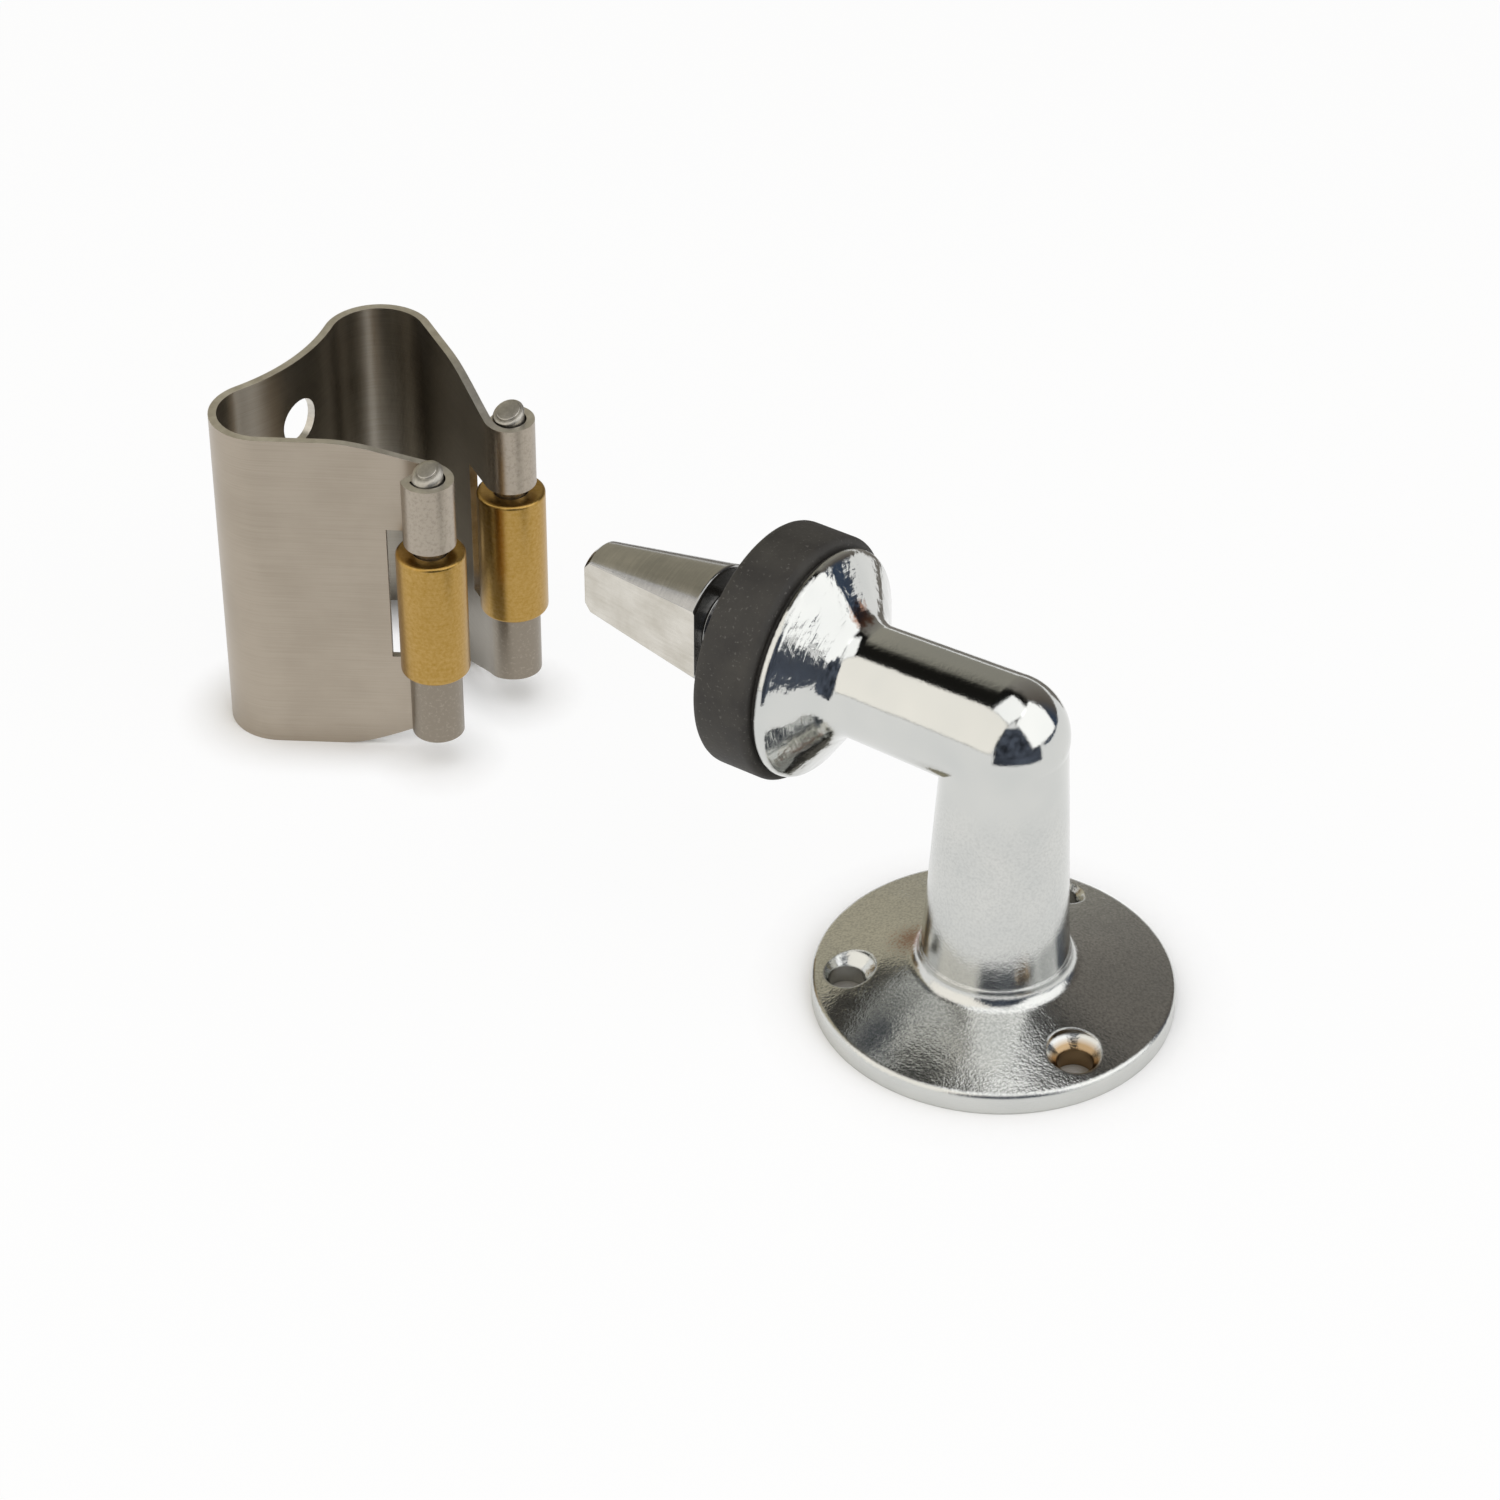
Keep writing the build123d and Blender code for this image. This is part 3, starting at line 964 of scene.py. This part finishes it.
def softbox(name, direction, distance, width, height, brightness, colour, housing):
    """A soft lamp that faces the object, and its dark housing. A mirror sees its brightness."""
    way = Vector(direction).normalized()
    lamp = bpy.data.lights.new(name, "AREA")
    lamp.color = linear(colour)[:3]
    lamp.shape = "RECTANGLE"
    lamp.size = width
    lamp.size_y = height
    lamp.energy = brightness * pi * width * height
    holder = bpy.data.objects.new(name, lamp)
    holder.location = studio_middle + way * distance
    holder.rotation_euler = way.to_track_quat("Z", "Y").to_euler()
    holder.visible_camera = False
    bpy.context.scene.collection.objects.link(holder)
    behind = studio_middle + way * (distance + housing_gap)
    card(f"{name}_housing", behind, way, width + lamp_rim, height + lamp_rim, housing)


def start_glow(name):
    """A material of its own light, which isn't counted among the lamps, and its coordinates."""
    material = bpy.data.materials.new(name)
    material.cycles.emission_sampling = "NONE"
    material.use_nodes = True
    tree = material.node_tree
    tree.nodes.clear()
    return material, tree, add(tree, "ShaderNodeTexCoord").outputs["Object"]


def finish_glow(tree, colour):
    """Ends a material of its own light."""
    glow = add(tree, "ShaderNodeEmission", links={"Color": colour})
    add(tree, "ShaderNodeOutputMaterial", links={"Surface": glow})


def dark_room():
    """The unlit side of the studio. The eye sees black overhead in the chrome, then brown and grey."""
    material, tree, place = start_glow("dim studio wall")
    parts = add(tree, "ShaderNodeSeparateXYZ", links={"Vector": place})
    blotches = add(tree, "ShaderNodeTexNoise", {"Scale": 2.5, "Detail": 2.0}, {"Vector": place})
    shifted = add(
        tree, "ShaderNodeMath", {1: wall_unevenness}, {0: blotches, 2: parts.outputs["Z"]},
        operation="MULTIPLY_ADD",
    )
    height = add(tree, "ShaderNodeMapRange", {"From Max": canopy_r + wall_unevenness}, {"Value": shifted})
    shade = add(tree, "ShaderNodeValToRGB", links={"Fac": height})
    shade.color_ramp.elements[0].position = 0.72
    shade.color_ramp.elements[0].color = linear("#FFFFFF")
    shade.color_ramp.elements[1].position = 0.78
    shade.color_ramp.elements[1].color = linear("#303030")
    across = add(
        tree, "ShaderNodeMapRange", {"From Min": -canopy_r, "From Max": canopy_r},
        {"Value": parts.outputs["X"]},
    )
    wall = add(tree, "ShaderNodeValToRGB", links={"Fac": across})
    wall.color_ramp.elements[0].position = 0.2
    wall.color_ramp.elements[0].color = linear("#39465A")
    for position, colour in ((0.36, "#645E58"), (0.62, "#8A8680"), (0.72, "#9C998F")):
        wall.color_ramp.elements.new(position).color = linear(colour)
    wall.color_ramp.elements[-1].position = 0.85
    wall.color_ramp.elements[-1].color = linear("#BEB7A2")
    shaded = add(
        tree, "ShaderNodeMix", {"Factor": 1.0}, {"A": wall, "B": shade},
        data_type="RGBA", blend_type="MULTIPLY",
    )
    finish_glow(tree, shaded)
    return material


def dim_corner():
    """The unlit room round the camera. The eye sees a blotched dark blue grey in the chrome."""
    material, tree, place = start_glow("dim room behind the camera")
    blotches = add(tree, "ShaderNodeTexNoise", {"Scale": 4.0, "Detail": 3.0}, {"Vector": place})
    shade = add(tree, "ShaderNodeValToRGB", links={"Fac": blotches})
    shade.color_ramp.elements[0].position = 0.35
    shade.color_ramp.elements[0].color = linear("#26292F")
    shade.color_ramp.elements[1].position = 0.65
    shade.color_ramp.elements[1].color = linear("#5C6371")
    finish_glow(tree, shade)
    return material


def curved_wall(name, rows, material):
    """A wall or a table through rows of points."""
    bm = bmesh.new()
    lines = [[bm.verts.new(point) for point in row] for row in rows]
    for line, following in zip(lines, lines[1:]):
        for k in range(len(line) - 1):
            bm.faces.new((line[k], line[k + 1], following[k + 1], following[k]))
    return make_piece(name, bm, material)


def make_canopy():
    """A curved wall over the far side of the set, from the key lamp's upper edge to near the floor."""
    rows = []
    for i in range(wall_steps + 1):
        over = canopy_start + (canopy_end - canopy_start) * i / wall_steps
        row = []
        for k in range(wall_steps + 1):
            aside = canopy_aside * (2 * k / wall_steps - 1)
            way = Vector((sin(aside), cos(aside) * cos(over), cos(aside) * sin(over)))
            row.append(studio_middle + way * canopy_r)
        rows.append(row)
    piece = curved_wall("studio_canopy", rows, dark_room())
    piece.visible_camera = False


def reflected_only(piece):
    """Puts a piece of the set where only polished metal sees it."""
    piece.visible_camera = False
    piece.visible_diffuse = False
    piece.visible_shadow = False


def make_far_table():
    """The table beyond the white paper on the far side, which darkens the outlines of the chrome."""
    rows = [[Vector((x, y, table_lift)) for x in (0, canopy_r)] for y in (-paper_edge, -canopy_r)]
    reflected_only(curved_wall("far_table", rows, dark_room()))


def make_camera_side():
    """The dark table beyond the white paper's edge and the wall behind the camera."""
    rows = []
    for i in range(-1, wall_steps + 1):
        rise = camera_side_rise * max(i, 0) / wall_steps
        reach = paper_edge if i < 0 else camera_side_r
        row = []
        for k in range(wall_steps + 1):
            azimuth = camera_side_from + (camera_side_to - camera_side_from) * k / wall_steps
            way = Vector((cos(rise) * cos(azimuth), cos(rise) * sin(azimuth), sin(rise)))
            row.append(way * reach + Vector((0, 0, table_lift)))
        rows.append(row)
    reflected_only(curved_wall("camera_side_wall", rows, dim_corner()))


def background_rays(tree):
    """A value that is 1 for rays that see the background directly, in a mirror or through glass."""
    rays = add(tree, "ShaderNodeLightPath")
    mirrors = add(
        tree, "ShaderNodeMath",
        links={0: rays.outputs["Is Camera Ray"], 1: rays.outputs["Is Glossy Ray"]}, operation="MAXIMUM",
    )
    return add(
        tree, "ShaderNodeMath",
        links={0: mirrors, 1: rays.outputs["Is Transmission Ray"]}, operation="MAXIMUM",
    )


def make_floor():
    """White studio floor that keeps a soft shadow, and is in shade where the screw holes show it."""
    bm = bmesh.new()
    bmesh.ops.create_grid(bm, x_segments=1, y_segments=1, size=floor_reach)
    bmesh.ops.translate(bm, verts=bm.verts, vec=(0, 0, -floor_drop))
    material = bpy.data.materials.new("white studio paper")
    material.use_nodes = True
    tree = material.node_tree
    tree.nodes.clear()
    place = add(tree, "ShaderNodeTexCoord").outputs["Object"]
    from_base = add(tree, "ShaderNodeVectorMath", links={0: place}, operation="LENGTH")
    under_base = add(tree, "ShaderNodeMath", {1: under_base_r}, {0: from_base}, operation="LESS_THAN")
    shaded = add(
        tree, "ShaderNodeMix", {"A": linear("#FAFAFA"), "B": linear("#8C8880")},
        {"Factor": under_base}, data_type="RGBA",
    )
    paper = add(tree, "ShaderNodeBsdfDiffuse", links={"Color": shaded})
    white = add(tree, "ShaderNodeEmission", {"Color": linear("#FFFFFF"), "Strength": 1.0})
    crevice = add(tree, "ShaderNodeAmbientOcclusion", {"Distance": crevice_reach}, samples=2)
    open_share = add(
        tree, "ShaderNodeMapRange", {"From Min": 0.62, "From Max": 0.96, "To Max": 0.93},
        {"Value": crevice.outputs["AO"]},
    )
    lit = add(
        tree, "ShaderNodeMath", links={0: background_rays(tree), 1: open_share}, operation="MULTIPLY",
    )
    mixed = add(tree, "ShaderNodeMixShader", links={0: lit, 1: paper, 2: white})
    add(tree, "ShaderNodeOutputMaterial", links={"Surface": mixed})
    make_piece("studio_floor", bm, material)


def make_world():
    """White surroundings to look at, and a softer grey light from them."""
    world = bpy.data.worlds.new("white studio")
    bpy.context.scene.world = world
    world.use_nodes = True
    tree = world.node_tree
    tree.nodes.clear()
    glow = add(tree, "ShaderNodeBackground", {"Color": linear("#FFFFFF"), "Strength": world_glow})
    seen = add(tree, "ShaderNodeBackground", {"Color": linear("#FFFFFF"), "Strength": 1.0})
    mixed = add(tree, "ShaderNodeMixShader", links={0: background_rays(tree), 1: glow, 2: seen})
    add(tree, "ShaderNodeOutputWorld", links={"Surface": mixed})


def make_camera():
    """The camera where the photograph was taken from."""
    lens = bpy.data.cameras.new("photograph")
    lens.lens = camera_lens
    lens.sensor_width = camera_sensor
    lens.sensor_fit = "HORIZONTAL"
    lens.clip_start = camera_near
    camera = bpy.data.objects.new("photograph", lens)
    camera.matrix_world = (
        Matrix.Translation(camera_at)
        @ Matrix.Rotation(camera_azimuth, 4, "Z")
        @ Matrix.Rotation(pi / 2 - camera_elevation, 4, "X")
        @ Matrix.Rotation(camera_roll, 4, "Z")
    )
    bpy.context.scene.collection.objects.link(camera)
    bpy.context.scene.camera = camera


# The object
stop = bpy.data.objects["stop_arm"]
stop.material_slots[0].material = chrome_casting()

buffer_piece = make_buffer()
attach(buffer_piece, "stop_and_clip")
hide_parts("buffer_ring")

head_piece = make_head()
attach(head_piece, "stop_and_clip")
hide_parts("latch_head")

clip_piece = make_clip()
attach(clip_piece, "stop_and_clip")
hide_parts("spring_clip")

drawn_steel = worked_metal(
    "drawn steel, cropped", ("#A39F96", "#C6C2B9"), (0.35, 0.5),
    (0.4 * mm, 0.4 * mm, 10 * mm), 0.015 * mm, 2.5 * mm,
)
turned_brass = worked_metal(
    "turned brass", ("#A98642", "#BA985A"), (0.24, 0.36),
    (9 * mm, 9 * mm, 0.3 * mm), 0.004 * mm, 0.5 * mm,
)
turning = roller_tree()
for side, nib_share in (("left", 0.6), ("right", 0.75)):
    pin_piece = make_pin(f"{side}_cropped_pin", f"{side}_pin", drawn_steel, nib_share)
    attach(pin_piece, "stop_and_clip")
    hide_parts(f"{side}_pin")
    roller_piece = make_roller(f"{side}_brass_roller", f"{side}_roller", turning, turned_brass)
    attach(roller_piece, f"{side}_roller")
    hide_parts(f"{side}_roller")

# The set
make_world()
make_floor()
housing = lamp_housing()
for lamp in lamps:
    softbox(*lamp, housing)
make_canopy()
make_far_table()
make_camera_side()
make_camera()
bpy.context.scene.view_settings.view_transform = "Standard"
